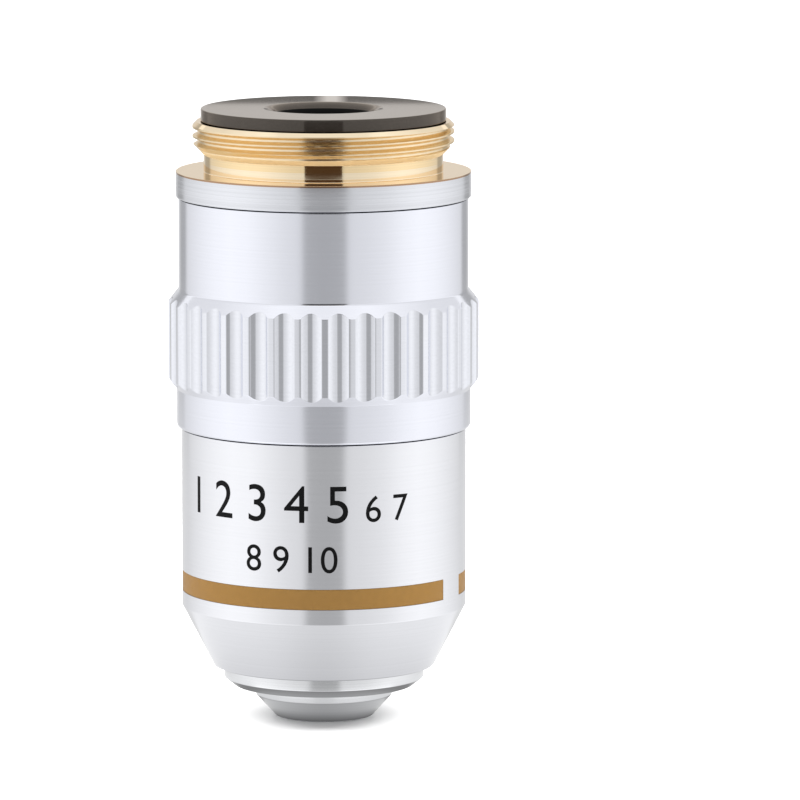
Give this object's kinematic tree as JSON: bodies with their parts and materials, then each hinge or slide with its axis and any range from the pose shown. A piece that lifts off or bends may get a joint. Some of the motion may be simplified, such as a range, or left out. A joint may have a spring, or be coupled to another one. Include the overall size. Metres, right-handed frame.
{
  "type": "microscope objective",
  "caption": "Low power microscope objective: threaded brass mount, chromed barrel with a fluted grip, coned sleeve with a colour band, and a lens stack in an inner tube.",
  "frame": {"origin": "centre of the mounting shoulder, on the optical axis", "axes": "+Z along the optical axis, from the front lens to the mounting thread; -Y faces the picture"},
  "size_m": [0.024, 0.024, 0.0474],
  "materials": {
    "bare_brass": "turned, clear lacquered",
    "black_anodised": "black anodised, satin",
    "bright_chrome": "bright chrome on turned brass",
    "satin_chrome": "satin chrome on turned brass",
    "brown_enamel": "brown enamel",
    "blackened_brass": "chemically blackened",
    "plain_brass": "as turned",
    "spring_steel": "rolled shim",
    "optical_glass": "polished, coated"
  },
  "bodies": {
    "root": {"thread_mount": "bare_brass", "rear_stop": "black_anodised", "grip_barrel": "bright_chrome", "front_sleeve": "bright_chrome", "colour_band": "brown_enamel", "lens_tube": "satin_chrome", "parfocal_shim": "spring_steel", "clamp_ring": "plain_brass", "front_cell": "satin_chrome", "front_lens": "optical_glass", "front_lens_ring": "blackened_brass", "second_cell": "plain_brass", "second_lens": "optical_glass", "second_lens_ring": "blackened_brass", "short_spacer": "blackened_brass", "third_cell": "plain_brass", "third_crown": "optical_glass", "third_flint": "optical_glass", "third_lens_ring": "blackened_brass", "lower_spacer": "blackened_brass", "aperture_stop": "blackened_brass", "upper_spacer": "blackened_brass", "rear_cell": "plain_brass", "rear_crown": "optical_glass", "rear_flint": "optical_glass", "rear_lens_ring": "blackened_brass", "stack_ring": "blackened_brass"}
  },
  "joints": []
}
